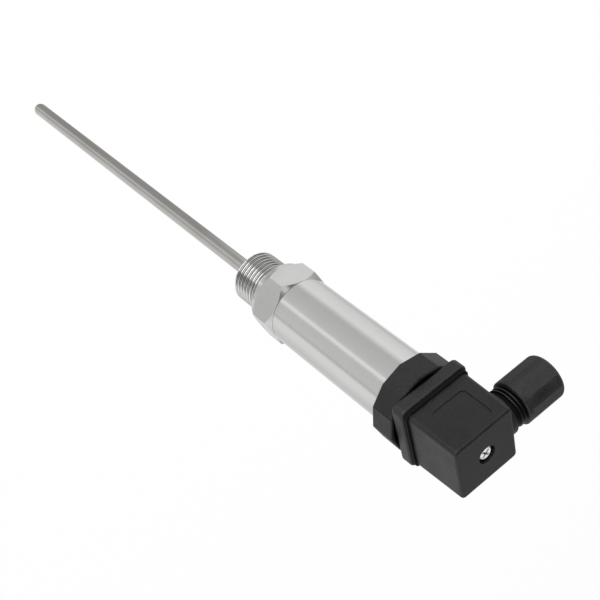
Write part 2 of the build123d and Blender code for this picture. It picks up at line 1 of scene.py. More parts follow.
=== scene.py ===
# %% [markdown]
# # A screw-in temperature sensor, dressed in Blender
# The sensor is a long steel stem, a threaded steel hexagon, a polished steel housing and a black
# moulded connector with a cable gland. Its solids come from a CAD program, already in place.
# This script keeps every solid where it is, cuts the two threads that the solids leave plain,
# gives each surface a procedural finish, and sets up the camera, the light tent, the lamps and the
# floor.
#
# ## The frame
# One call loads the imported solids. It comes first, because every later piece is placed from them.
# Lengths are in metres: +Z runs along the sensor towards the plug, +X points to the cable gland.
# %% Load the solids
import math
import bpy
import bmesh
from mathutils import Matrix, Vector


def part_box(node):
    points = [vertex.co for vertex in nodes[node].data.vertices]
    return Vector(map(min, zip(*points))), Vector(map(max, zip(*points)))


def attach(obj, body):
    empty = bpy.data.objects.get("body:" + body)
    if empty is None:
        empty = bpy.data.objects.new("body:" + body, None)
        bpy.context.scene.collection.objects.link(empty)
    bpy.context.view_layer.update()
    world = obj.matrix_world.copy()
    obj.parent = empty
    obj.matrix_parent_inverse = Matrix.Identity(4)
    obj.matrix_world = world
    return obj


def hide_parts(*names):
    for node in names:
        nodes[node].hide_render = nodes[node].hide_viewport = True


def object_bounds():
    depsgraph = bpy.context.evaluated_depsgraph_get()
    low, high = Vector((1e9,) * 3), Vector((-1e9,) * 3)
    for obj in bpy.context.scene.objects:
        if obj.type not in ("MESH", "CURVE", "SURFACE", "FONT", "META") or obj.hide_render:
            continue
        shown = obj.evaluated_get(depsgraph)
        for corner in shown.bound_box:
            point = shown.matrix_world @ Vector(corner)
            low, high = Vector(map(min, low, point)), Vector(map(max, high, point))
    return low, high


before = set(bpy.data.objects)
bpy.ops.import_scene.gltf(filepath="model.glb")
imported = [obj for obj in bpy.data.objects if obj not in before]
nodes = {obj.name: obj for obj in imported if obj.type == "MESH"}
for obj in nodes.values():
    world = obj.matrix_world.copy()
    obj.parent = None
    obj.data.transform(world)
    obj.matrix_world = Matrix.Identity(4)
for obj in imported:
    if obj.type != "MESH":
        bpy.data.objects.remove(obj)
cad_low, cad_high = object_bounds()
gland_axis_z = 0.1021  # the cable gland lies along +X at this height
print("the CAD box is", [round(1000 * (b - a), 1) for a, b in zip(cad_low, cad_high)], "mm")

# %% [markdown]
# ## The camera
# The picture is 600 by 600 pixels. The lens, the place and the turn of the camera were worked out
# from the outlines of the stem, the hexagon and the plug, so the render lines up with them.
# A camera looks along its own -Z axis, so the matrix is written as three columns: right, up, back.
# %% Camera
picture_pixels = 600
focal_pixels = 1122.530
camera_data = bpy.data.cameras.new("product_camera")
camera_data.sensor_width = 36.0
camera_data.lens = focal_pixels / picture_pixels * camera_data.sensor_width
camera_data.clip_start = 0.01
camera_data.clip_end = 20.0
camera = bpy.data.objects.new("product_camera", camera_data)
bpy.context.collection.objects.link(camera)
camera_place = Vector((-0.1365514, 0.2960298, 0.2804824))
camera_right = Vector((0.76545569, -0.19998016, 0.61162531))
camera_up = Vector((0.55321937, 0.68998972, -0.46675744))
camera_back = Vector((-0.32867295, 0.69564511, 0.63878946))
camera_turn = Matrix((camera_right, camera_up, camera_back)).transposed()
camera.matrix_world = Matrix.Translation(camera_place) @ camera_turn.to_4x4()
bpy.context.scene.camera = camera
print("lens", round(camera_data.lens, 2), "mm,", round(camera_place.length, 3), "m from the fitting")

# %% [markdown]
# ## Small helpers for node trees
# A finish is a small graph of nodes. Writing it in code needs the same steps again and again: add a
# node, set its values, join two sockets. On top of these stand four steps that most finishes share:
# a sum, a noise, a new range for a value, and a mix of two colours.
# %% Node helpers
def add_node(tree, kind, **values):
    node = tree.nodes.new(kind)
    for name, value in values.items():
        setattr(node, name, value)
    return node


def join(tree, source, target):
    tree.links.new(source, target)


def maths(tree, operation, a, b=None, c=None, clamp=False):
    node = add_node(tree, "ShaderNodeMath", operation=operation, use_clamp=clamp)
    for socket, value in zip(node.inputs, (a, b, c)):
        if value is None:
            continue
        if isinstance(value, (int, float)):
            socket.default_value = value
        else:
            join(tree, value, socket)
    return node.outputs[0]


def noise(tree, place, scale, detail):
    node = add_node(tree, "ShaderNodeTexNoise")
    node.inputs["Detail"].default_value = detail
    join(tree, place, node.inputs["Vector"])
    if isinstance(scale, (int, float)):
        node.inputs["Scale"].default_value = scale
    else:
        join(tree, scale, node.inputs["Scale"])
    return node.outputs["Fac"]


def new_range(tree, value, old_low, old_high, low=0.0, high=1.0, kind="LINEAR"):
    node = add_node(tree, "ShaderNodeMapRange", interpolation_type=kind)
    sizes = (("From Min", old_low), ("From Max", old_high), ("To Min", low), ("To Max", high))
    for name, size in sizes:
        if isinstance(size, (int, float)):
            node.inputs[name].default_value = size
        else:
            join(tree, size, node.inputs[name])
    join(tree, value, node.inputs["Value"])
    return node.outputs[0]


def mix_colours(tree, factor, first, second):
    node = add_node(tree, "ShaderNodeMix", data_type="RGBA")
    join(tree, factor, node.inputs["Factor"])
    for name, colour in (("A", first), ("B", second)):
        if isinstance(colour, tuple):
            node.inputs[name].default_value = (*colour, 1.0)
        else:
            join(tree, colour, node.inputs[name])
    return node.outputs["Result"]


def group_socket(tree, name, direction, kind="NodeSocketFloat", value=None):
    socket = tree.interface.new_socket(name=name, in_out=direction, socket_type=kind)
    if value is not None:
        socket.default_value = value
    return socket


# %% [markdown]
# ## A shared effect: directional grain
# Every metal surface here keeps the marks of the tool that made it. A drawn stem has lines along it,
# a turned fitting has rings round it, and a polished tube has very fine rings. They are the same
# effect at other scales, so it is one node group. It stretches a noise more along one axis than
# along another. Object coordinates are metres, so the scales are simply marks per metre.
# %% Group: directional grain
def build_directional_grain():
    tree = bpy.data.node_groups.new("Directional grain", "ShaderNodeTree")
    group_socket(tree, "Marks across", "INPUT", value=2500.0)
    group_socket(tree, "Marks along", "INPUT", value=30.0)
    group_socket(tree, "Cloud scale", "INPUT", value=60.0)
    group_socket(tree, "Grain", "OUTPUT")
    group_socket(tree, "Clouds", "OUTPUT")
    inputs = add_node(tree, "NodeGroupInput")
    outputs = add_node(tree, "NodeGroupOutput")
    place = add_node(tree, "ShaderNodeTexCoord")
    scale = add_node(tree, "ShaderNodeCombineXYZ")
    join(tree, inputs.outputs["Marks across"], scale.inputs["X"])
    join(tree, inputs.outputs["Marks across"], scale.inputs["Y"])
    join(tree, inputs.outputs["Marks along"], scale.inputs["Z"])
    stretch = add_node(tree, "ShaderNodeVectorMath", operation="MULTIPLY")
    join(tree, place.outputs["Object"], stretch.inputs[0])
    join(tree, scale.outputs[0], stretch.inputs[1])
    grain = noise(tree, stretch.outputs[0], 1.0, 3.0)
    clouds = noise(tree, place.outputs["Object"], inputs.outputs["Cloud scale"], 2.0)
    join(tree, grain, outputs.inputs["Grain"])
    join(tree, clouds, outputs.inputs["Clouds"])
    return tree


directional_grain = build_directional_grain()
print("group:", directional_grain.name, "with", len(directional_grain.nodes), "nodes")

# %% [markdown]
# ## A shared effect: moulded skin
# Moulded plastic and rubber copy the sparked texture of their tool: tiny soft bumps, a little
# unevenness in gloss, and some dust. One group makes all three, and each plastic sets its own size.
# %% Group: moulded skin
def build_moulded_skin():
    tree = bpy.data.node_groups.new("Moulded skin", "ShaderNodeTree")
    group_socket(tree, "Texture scale", "INPUT", value=2600.0)
    group_socket(tree, "Patch scale", "INPUT", value=120.0)
    group_socket(tree, "Bumps", "OUTPUT")
    group_socket(tree, "Patches", "OUTPUT")
    group_socket(tree, "Dust", "OUTPUT")
    inputs = add_node(tree, "NodeGroupInput")
    outputs = add_node(tree, "NodeGroupOutput")
    place = add_node(tree, "ShaderNodeTexCoord")
    bumps = noise(tree, place.outputs["Object"], inputs.outputs["Texture scale"], 2.0)
    patches = noise(tree, place.outputs["Object"], inputs.outputs["Patch scale"], 3.0)
    # a speck of dust is a small dot of a cell pattern, and only some patches have any
    specks = add_node(tree, "ShaderNodeTexVoronoi")
    specks.inputs["Scale"].default_value = 900.0
    join(tree, place.outputs["Object"], specks.inputs["Vector"])
    small = maths(tree, "LESS_THAN", specks.outputs["Distance"], 0.10)
    sparse = maths(tree, "GREATER_THAN", patches, 0.60)
    join(tree, bumps, outputs.inputs["Bumps"])
    join(tree, patches, outputs.inputs["Patches"])
    join(tree, maths(tree, "MULTIPLY", small, sparse), outputs.inputs["Dust"])
    return tree


moulded_skin = build_moulded_skin()
print("group:", moulded_skin.name, "with", len(moulded_skin.nodes), "nodes")

# %% [markdown]
# ## Making a metal
# A metal in this scene is one Principled shader with full Metallic. The grain group changes its
# colour and its roughness a little, and a faint bump catches the light. The values that do not
# change over the surface are set on the shader itself. The two ends of a noise are rare, so only
# the middle of its range is used.
# %% Metal finish
def add_relief(tree, shader, height, strength, depth):
    relief = add_node(tree, "ShaderNodeBump")
    relief.inputs["Strength"].default_value = strength
    relief.inputs["Distance"].default_value = depth
    join(tree, height, relief.inputs["Height"])
    join(tree, relief.outputs[0], shader.inputs["Normal"])


def metal_finish(name, pale, deep, rough, marks, clouds, relief=0.00001):
    material = bpy.data.materials.new(name)
    material.use_nodes = True
    tree = material.node_tree
    shader = tree.nodes["Principled BSDF"]
    shader.inputs["Metallic"].default_value = 1.0
    group = add_node(tree, "ShaderNodeGroup", node_tree=directional_grain)
    group.inputs["Marks across"].default_value = marks[0]
    group.inputs["Marks along"].default_value = marks[1]
    group.inputs["Cloud scale"].default_value = clouds
    grain = group.outputs["Grain"]
    mixed = maths(tree, "ADD", maths(tree, "MULTIPLY", grain, 0.55),
                  maths(tree, "MULTIPLY", group.outputs["Clouds"], 0.45))
    colour = mix_colours(tree, new_range(tree, mixed, 0.35, 0.65), deep, pale)
    join(tree, colour, shader.inputs["Base Color"])
    join(tree, new_range(tree, grain, 0.3, 0.7, *rough), shader.inputs["Roughness"])
    add_relief(tree, shader, grain, 0.35, relief)
    return material


# %% [markdown]
# ## A shared effect: darker in the grooves
# Little light gets into the bottom of a cut thread or a screw's slot, and the metals paint that
# shade. One group measures how far each point is from the middle of the part, and turns that into a
# mask: 1 at the crests, falling to a given share at the root. Each direction has a weight, so that
# (1, 1, 0) measures from a line along Z and (0, 1, 1) from a line along X.
# %% Group: groove mask
def build_groove_mask():
    tree = bpy.data.node_groups.new("Groove mask", "ShaderNodeTree")
    group_socket(tree, "Centre", "INPUT", "NodeSocketVector")
    group_socket(tree, "Weights", "INPUT", "NodeSocketVector")
    group_socket(tree, "Root radius", "INPUT", value=0.0094)
    group_socket(tree, "Crest radius", "INPUT", value=0.0102)
    group_socket(tree, "Root share", "INPUT", value=0.4)
    group_socket(tree, "Mask", "OUTPUT")
    inputs = add_node(tree, "NodeGroupInput").outputs
    outputs = add_node(tree, "NodeGroupOutput").inputs
    place = add_node(tree, "ShaderNodeTexCoord")
    moved = add_node(tree, "ShaderNodeVectorMath", operation="SUBTRACT")
    join(tree, place.outputs["Object"], moved.inputs[0])
    join(tree, inputs["Centre"], moved.inputs[1])
    weighted = add_node(tree, "ShaderNodeVectorMath", operation="MULTIPLY")
    join(tree, moved.outputs[0], weighted.inputs[0])
    join(tree, inputs["Weights"], weighted.inputs[1])
    radius = add_node(tree, "ShaderNodeVectorMath", operation="LENGTH")
    join(tree, weighted.outputs[0], radius.inputs[0])
    mask = new_range(tree, radius.outputs["Value"], inputs["Root radius"], inputs["Crest radius"],
                     inputs["Root share"])
    join(tree, mask, outputs["Mask"])
    return tree


groove_mask = build_groove_mask()
print("group:", groove_mask.name, "with", len(groove_mask.nodes), "nodes")

# %% [markdown]
# ## Using the mask
# A metal multiplies its colour by the mask, which paints shade into its grooves. A plastic thread is
# nearly black already, and what tells its crests from its grooves is gloss: the nut has rubbed the
# crests. So there the mask sets the weight of a clear coat over a dull plastic.
# %% Helpers: painted shade in a metal's grooves, gloss on a plastic's crests
def add_mask(tree, sizes):
    node = add_node(tree, "ShaderNodeGroup", node_tree=groove_mask)
    for name, value in sizes.items():
        node.inputs[name].default_value = value
    return node.outputs["Mask"]


def paint_groove_shade(material, sizes):
    tree = material.node_tree
    shader = tree.nodes["Principled BSDF"]
    # the colour is darkened by the mask: a painted shade in the grooves
    shade = add_node(tree, "ShaderNodeVectorMath", operation="SCALE")
    join(tree, shader.inputs["Base Color"].links[0].from_socket, shade.inputs[0])
    join(tree, add_mask(tree, sizes), shade.inputs["Scale"])
    join(tree, shade.outputs[0], shader.inputs["Base Color"])


def rub_crests(material, sizes):
    tree = material.node_tree
    shader = tree.nodes["Principled BSDF"]
    shader.inputs["Specular IOR Level"].default_value = 0.06
    shader.inputs["Coat Roughness"].default_value = 0.38
    shader.inputs["Coat IOR"].default_value = 1.54
    join(tree, add_mask(tree, sizes), shader.inputs["Coat Weight"])


# %% [markdown]
# ## The steels and the small metals
# The stem is drawn and satin, a shade darker than the rest. The fitting is turned, and its thread
# is the same steel painted lighter, a painted highlight, and painted darker towards its roots, a
# painted shade. The housing is polished nearly bright. The screw's plating is pale and a little dull,
# so its shader is only partly a metal. Inside the plug are tinned contacts and brass. The marks are
# given across and along the sensor.
# %% Metals
satin_stem = metal_finish("Drawn satin stem", (0.60, 0.585, 0.56), (0.50, 0.485, 0.46),
                          rough=(0.10, 0.17), marks=(4000.0, 60.0), clouds=45.0, relief=0.000003)
turned_steel = metal_finish("Turned steel", (0.70, 0.70, 0.695), (0.62, 0.62, 0.61),
                            rough=(0.10, 0.18), marks=(300.0, 5000.0), clouds=90.0, relief=0.000001)
# a lighter copy of the turned steel: a painted highlight on the thread, with painted shade in its roots
# below
thread_steel_painted_light = metal_finish("Cut thread steel, painted highlight and shade", (0.76, 0.76, 0.755), (0.68, 0.68, 0.67),
                            rough=(0.10, 0.18), marks=(300.0, 5000.0), clouds=90.0, relief=0.000001)
polished_housing = metal_finish("Polished housing steel", (0.745, 0.745, 0.74), (0.70, 0.70, 0.69),
                                rough=(0.13, 0.19), marks=(60.0, 6000.0), clouds=40.0,
                                relief=0.000004)
plated_screw = metal_finish("Plated screw", (0.97, 0.97, 0.96), (0.84, 0.84, 0.83),
                            rough=(0.16, 0.28), marks=(900.0, 900.0), clouds=500.0)
tinned_contact = metal_finish("Tinned contact", (0.80, 0.79, 0.76), (0.68, 0.67, 0.63),
                              rough=(0.28, 0.42), marks=(700.0, 700.0), clouds=200.0)
plain_brass = metal_finish("Plain brass", (0.84, 0.66, 0.36), (0.74, 0.56, 0.28),
                           rough=(0.25, 0.38), marks=(900.0, 3000.0), clouds=200.0)
for metal in (satin_stem, turned_steel, thread_steel_painted_light, polished_housing, plated_screw,
              tinned_contact, plain_brass):
    print("metal:", metal.name)

# %% Painted shade in the grooves of the thread and of the screw's slots
# painted shade: the thread's roots are darkened, where little light gets in
paint_groove_shade(thread_steel_painted_light, {"Centre": (0, 0, 0), "Weights": (1, 1, 0), "Root radius": 0.0094,
                              "Crest radius": 0.0102, "Root share": 0.36})
# painted shade: the screw's slots are darkened as well
# the slots of the screw lie inside this flattened ball, and the top and side of its head outside
slot_depth = 0.0012
slot_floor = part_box("retaining_screw")[1].z - slot_depth
paint_groove_shade(plated_screw, {"Centre": (0, 0, slot_floor), "Weights": (1, 1, 2),
                              "Root radius": 0.0019, "Crest radius": 0.0024, "Root share": 0.22})
plated_screw.node_tree.nodes["Principled BSDF"].inputs["Metallic"].default_value = 0.45
print("the screw's slots end at", round(1000 * slot_floor, 1), "mm")

# %% [markdown]
# ## Making a moulded finish
# The black plastic of the connector, the rubber of the gasket and the small inner mouldings are all
# a Principled shader without metal. The moulded skin gives the bumps, the patches of gloss and a
# few paler specks of dust.
# %% Moulded finish
def moulded_finish(name, colour, worn, rough, texture, relief, dust=0.2, specular=0.5):
    material = bpy.data.materials.new(name)
    material.use_nodes = True
    tree = material.node_tree
    shader = tree.nodes["Principled BSDF"]
    shader.inputs["Specular IOR Level"].default_value = specular
    skin = add_node(tree, "ShaderNodeGroup", node_tree=moulded_skin)
    skin.inputs["Texture scale"].default_value = texture
    patches = skin.outputs["Patches"]
    body = mix_colours(tree, new_range(tree, patches, 0.35, 0.65), colour, worn)
    dusty = tuple(min(1.0, 0.25 + part) for part in colour)
    amount = maths(tree, "MULTIPLY", skin.outputs["Dust"], dust)
    join(tree, mix_colours(tree, amount, body, dusty), shader.inputs["Base Color"])
    join(tree, new_range(tree, patches, 0.3, 0.7, *rough), shader.inputs["Roughness"])
    add_relief(tree, shader, skin.outputs["Bumps"], 0.5, relief)
    return material


# %% [markdown]
# ## Three black plastics and the rubber
# The plug and the collar are one black plastic. The base and the gland nut are filled with glass,
# which makes them a little coarser and glossier. The gland's thread is smooth, and glossy only on
# its crests. The rubber is the dullest and the darkest.
# %% Black mouldings
black_plastic = moulded_finish("Black moulded plastic", (0.006, 0.006, 0.0062), (0.010, 0.010, 0.0102),
                               rough=(0.38, 0.50), texture=1400.0, relief=0.00032, specular=0.47)
filled_plastic = moulded_finish("Glass-filled black plastic", (0.007, 0.007, 0.0072),
                                (0.012, 0.012, 0.0122), rough=(0.38, 0.50), texture=1300.0,
                                relief=0.00040, specular=0.58)
thread_plastic = moulded_finish("Moulded thread plastic", (0.003, 0.003, 0.003), (0.005, 0.005, 0.005),
                                rough=(0.36, 0.46), texture=1500.0, relief=0.00003)
rub_crests(thread_plastic, {"Centre": (0, 0, gland_axis_z), "Weights": (0, 1, 1),
                            "Root radius": 0.0070, "Crest radius": 0.0075, "Root share": 0.0})
black_rubber = moulded_finish("Black rubber", (0.003, 0.003, 0.003), (0.005, 0.005, 0.005),
                              rough=(0.55, 0.70), texture=1800.0, relief=0.00003, specular=0.15)
for moulding in (black_plastic, filled_plastic, thread_plastic, black_rubber):
    print("moulding:", moulding.name)

# %% [markdown]
# ## What is inside
# The inner parts show only when the plug is off, or in the mouth of the gland. They use the same
# moulded finish, because plastic, ceramic, resin and a board all scatter light the same way.
# %% Inner parts
natural_plastic = moulded_finish("Natural plastic", (0.78, 0.76, 0.70), (0.72, 0.70, 0.63),
                                 rough=(0.40, 0.50), texture=1500.0, relief=0.00002, dust=0.05)
grey_block = moulded_finish("Grey block plastic", (0.26, 0.27, 0.28), (0.22, 0.23, 0.24),
                            rough=(0.42, 0.52), texture=1500.0, relief=0.00002, dust=0.1)
white_ceramic = moulded_finish("Fired ceramic", (0.86, 0.84, 0.78), (0.80, 0.78, 0.71),
                               rough=(0.35, 0.55), texture=1200.0, relief=0.00002, dust=0.05)
cast_resin = moulded_finish("Cast resin", (0.27, 0.19, 0.10), (0.20, 0.14, 0.07),
                            rough=(0.15, 0.30), texture=400.0, relief=0.00002, dust=0.05)
board_green = moulded_finish("Board laminate", (0.045, 0.23, 0.10), (0.03, 0.18, 0.08),
                             rough=(0.30, 0.40), texture=1600.0, relief=0.00001, dust=0.05)
component_grey = moulded_finish("Component bodies", (0.07, 0.07, 0.075), (0.10, 0.10, 0.11),
                                rough=(0.45, 0.60), texture=2200.0, relief=0.00001, dust=0.1)
wire_red = moulded_finish("Red wire jacket", (0.62, 0.09, 0.06), (0.52, 0.07, 0.05),
                          rough=(0.35, 0.50), texture=900.0, relief=0.00001, dust=0.05)
wire_green = moulded_finish("Earth wire jacket", (0.28, 0.45, 0.09), (0.22, 0.38, 0.07),
                            rough=(0.35, 0.50), texture=900.0, relief=0.00001, dust=0.05)
print(len(bpy.data.materials), "materials with the metals")

# %% [markdown]
# ## Dressing the solids
# A solid whose shape is right keeps its mesh. Only its material slot changes, and its normals stay
# as the CAD program wrote them.
# %% Give each solid its finish
finish_of = {
    "stem_sheath": satin_stem, "sensing_element": white_ceramic, "stem_insulator": white_ceramic,
    "stem_stopper": cast_resin, "sensing_wires": tinned_contact, "process_fitting": turned_steel,
    "housing_tube": polished_housing, "insulating_sleeve": natural_plastic,
    "board_guide": natural_plastic, "signal_board": board_green, "board_components": component_grey,
    "collar": black_plastic, "tube_seal": black_rubber, "connector_base": filled_plastic,
    "threaded_insert": plain_brass, "signal_blades": tinned_contact, "earth_blade": tinned_contact,
    "output_wires": wire_red, "earth_wire": wire_green, "plug_gasket": black_rubber,
    "plug_housing": black_plastic, "terminal_block": grey_block, "socket_contacts": tinned_contact,
    "terminal_screws": plated_screw, "gland_grommet": black_rubber, "screw_seal": black_rubber,
    "retaining_screw": plated_screw, "thrust_ring": natural_plastic, "gland_nut": filled_plastic,
}


def dress(solid, material):
    slots = solid.data.materials
    if len(slots) == 0:
        slots.append(material)
    for index in range(len(slots)):
        slots[index] = material


for node_name, material in finish_of.items():
    dress(nodes[node_name], material)
print(len(finish_of), "solids dressed")

# %% [markdown]
# ## A thread that follows a rule
# A screw thread is a groove that climbs one pitch for each turn. That is a rule, so Geometry Nodes
# make it. A flat grid is rolled into a tube: its first side goes once round, its second side goes
# along. Each row of points climbs with the thread, so it keeps to one place in the groove, and the
# edges of the thread stay crisp. The last rows make the relief that the cutting tool runs out
# into, the land behind it, and the step out to the shoulder. Named inputs hold the sizes, so the
# same tree cuts the steel thread of the fitting and the plastic thread of the gland.
# %% Geometry tree: rolled thread
closing_rows = 2  # rows that close the free end
tail_rows = 6  # rows behind the last groove
tail_step = 0.0003  # how far the short slopes behind the last groove run


def build_thread_tree():
    tree = bpy.data.node_groups.new("Rolled thread", "GeometryNodeTree")
    group_socket(tree, "Geometry", "OUTPUT", "NodeSocketGeometry")
    for name, value in (("Low end", 0.0), ("High end", 0.016), ("Pitch", 0.0018143),
                        ("Crest radius", 0.0104775), ("Root radius", 0.0093), ("Rim radius", 0.0104775),
                        ("Land radius", 0.0104), ("Shoulder radius", 0.0104775),
                        ("Lead-in", 0.0008), ("Last groove", 0.012), ("Land start", 0.0133),
                        ("End bore", 0.003), ("Crest share", 0.16), ("Root share", 0.16),
                        ("Start turn", 0.0)):
        group_socket(tree, name, "INPUT", "NodeSocketFloat", value)
    for name, value in (("Points round", 128), ("Rows per pitch", 12)):
        group_socket(tree, name, "INPUT", "NodeSocketInt", value)
    group_socket(tree, "Finish", "INPUT", "NodeSocketMaterial")
    inputs = add_node(tree, "NodeGroupInput").outputs
    outputs = add_node(tree, "NodeGroupOutput").inputs
    # enough rows for the whole thread, and those that close its two ends
    turns = maths(tree, "DIVIDE", inputs["Last groove"], inputs["Pitch"])
    climbing = add_node(tree, "FunctionNodeFloatToInt", rounding_mode="CEILING")
    join(tree, maths(tree, "MULTIPLY", maths(tree, "ADD", turns, 2.0), inputs["Rows per pitch"]),
         climbing.inputs[0])
    rows = maths(tree, "ADD", climbing.outputs[0], closing_rows + tail_rows)
    grid = add_node(tree, "GeometryNodeMeshGrid")
    grid.inputs["Size X"].default_value = 1.0
    grid.inputs["Size Y"].default_value = 1.0
    join(tree, inputs["Points round"], grid.inputs["Vertices X"])
    join(tree, rows, grid.inputs["Vertices Y"])
    where = add_node(tree, "GeometryNodeInputPosition")
    parts = add_node(tree, "ShaderNodeSeparateXYZ")
    join(tree, where.outputs[0], parts.inputs[0])
    turn = maths(tree, "ADD", parts.outputs["X"], 0.5)
    angle = maths(tree, "MULTIPLY", turn, 2 * math.pi)
    share = maths(tree, "ADD", parts.outputs["Y"], 0.5)
    row = maths(tree, "ROUND", maths(tree, "MULTIPLY", share, maths(tree, "SUBTRACT", rows, 1.0)))
    # the height of a row climbs by one pitch round the thread, and stops at both ends
    passed = maths(tree, "DIVIDE", maths(tree, "SUBTRACT", row, 1.0), inputs["Rows per pitch"])
    offset = maths(tree, "SUBTRACT", maths(tree, "SUBTRACT", turn, 1.0), inputs["Start turn"])
    climb = maths(tree, "MULTIPLY", maths(tree, "ADD", passed, offset), inputs["Pitch"])
    climb = maths(tree, "MINIMUM", maths(tree, "MAXIMUM", climb, 0.0), inputs["Last groove"])
    # how far through one pitch this point is, then a ridge with rounded root and crest
    steps = maths(tree, "DIVIDE", climb, inputs["Pitch"])
    phase = maths(tree, "FRACT", maths(tree, "SUBTRACT", steps, offset))
    ridge = maths(tree, "ABSOLUTE", maths(tree, "MULTIPLY_ADD", phase, 2.0, -1.0))
    crest_start = maths(tree, "SUBTRACT", 1.0, inputs["Crest share"])
    flank = new_range(tree, ridge, inputs["Root share"], crest_start, kind="SMOOTHSTEP")
    depth = maths(tree, "SUBTRACT", inputs["Crest radius"], inputs["Root radius"])
    cut = maths(tree, "MULTIPLY_ADD", flank, depth, inputs["Root radius"])
    # a cone at the free end takes the first ridges down
    start = maths(tree, "SUBTRACT", inputs["Crest radius"], inputs["Lead-in"])
    threaded = maths(tree, "MINIMUM", cut, maths(tree, "ADD", start, climb))
    # the tail: into the relief, along it, out to the rim, in to the land, and to the shoulder
    tail = add_node(tree, "FunctionNodeFloatToInt", rounding_mode="ROUND")
    before_tail = maths(tree, "SUBTRACT", rows, tail_rows + 1)
    join(tree, maths(tree, "MAXIMUM", maths(tree, "SUBTRACT", row, before_tail), 0.0), tail.inputs[0])
    length = maths(tree, "SUBTRACT", inputs["High end"], inputs["Low end"])
    rise = maths(tree, "SUBTRACT", inputs["Rim radius"], inputs["Root radius"])
    rise = maths(tree, "MULTIPLY", rise, 0.5)
    heights = (climb, maths(tree, "ADD", inputs["Last groove"], tail_step),
               maths(tree, "SUBTRACT", inputs["Land start"], rise), inputs["Land start"],
               maths(tree, "ADD", inputs["Land start"], tail_step), length, length)
    radii = (threaded, inputs["Root radius"], inputs["Root radius"], inputs["Rim radius"],
             inputs["Land radius"], inputs["Land radius"], inputs["Shoulder radius"])
    along = add_node(tree, "GeometryNodeIndexSwitch", data_type="FLOAT")
    radius = add_node(tree, "GeometryNodeIndexSwitch", data_type="FLOAT")
    for switch, choices in ((along, heights), (radius, radii)):
        while len(switch.index_switch_items) < len(choices):
            switch.index_switch_items.new()
        join(tree, tail.outputs[0], switch.inputs["Index"])
        for index, choice in enumerate(choices):
            join(tree, choice, switch.inputs[index + 1])
    # the first row closes the end face down to the bore
    closing = add_node(tree, "ShaderNodeMix", data_type="FLOAT")
    join(tree, maths(tree, "LESS_THAN", row, 0.5), closing.inputs["Factor"])
    join(tree, radius.outputs[0], closing.inputs["A"])
    join(tree, inputs["End bore"], closing.inputs["B"])
    point = add_node(tree, "ShaderNodeCombineXYZ")
    for axis, side in (("X", "COSINE"), ("Y", "SINE")):
        across = maths(tree, "MULTIPLY", maths(tree, side, angle), closing.outputs["Result"])
        join(tree, across, point.inputs[axis])
    join(tree, maths(tree, "ADD", along.outputs[0], inputs["Low end"]), point.inputs["Z"])
    rolled = add_node(tree, "GeometryNodeSetPosition")
    join(tree, grid.outputs["Mesh"], rolled.inputs["Geometry"])
    join(tree, point.outputs[0], rolled.inputs["Position"])
    # points that meet at the seam, or were stopped at the same height, become one
    closed = add_node(tree, "GeometryNodeMergeByDistance")
    closed.inputs["Distance"].default_value = 0.000002
    join(tree, rolled.outputs[0], closed.inputs["Geometry"])
    real = add_node(tree, "GeometryNodeRealizeInstances")
    join(tree, closed.outputs[0], real.inputs[0])
    finished = add_node(tree, "GeometryNodeSetMaterial")
    join(tree, real.outputs[0], finished.inputs["Geometry"])
    join(tree, inputs["Finish"], finished.inputs["Material"])
    join(tree, finished.outputs[0], outputs["Geometry"])
    return tree


thread_tree = build_thread_tree()
print("tree:", thread_tree.name, "with", len(thread_tree.nodes), "nodes")

# %% [markdown]
# ## Running the tree
# The tree is put on an empty object as a modifier. Each input is set by the identifier of its
# socket, the object is evaluated, and the result is copied out as a plain mesh.
# %% Helper: make a mesh from a tree
def mesh_from_tree(tree, name, sizes):
    holder = bpy.data.objects.new(name + "_holder", bpy.data.meshes.new(name + "_holder"))
    bpy.context.collection.objects.link(holder)
    modifier = holder.modifiers.new("maker", "NODES")
    modifier.node_group = tree
    for item in tree.interface.items_tree:
        if item.item_type == "SOCKET" and item.in_out == "INPUT" and item.name in sizes:
            modifier[item.identifier] = sizes[item.name]
    graph = bpy.context.evaluated_depsgraph_get()
    made = bpy.data.meshes.new_from_object(holder.evaluated_get(graph))
    made.name = name
    holder.modifiers.remove(modifier)
    bpy.data.objects.remove(holder)
    return made


def outward(mesh):
    work = bmesh.new()
    work.from_mesh(mesh)
    bmesh.ops.recalc_face_normals(work, faces=work.faces)
    work.to_mesh(mesh)
    work.free()


# %% [markdown]
# ## Joining a thread to a solid
# The solids have a plain cylinder where a thread goes. A copy of the solid loses the faces of that
# cylinder and takes the thread's mesh instead. The faces that stay keep the normals of the solid,
# which the copy carries along as an attribute while its mesh changes. The new faces have none, so
# they are shaded smooth, up to an angle at which an edge counts as sharp.
# %% Helper: a copy of a solid with a thread
sharp_angle = math.radians(32)
weld_distance = 0.000001


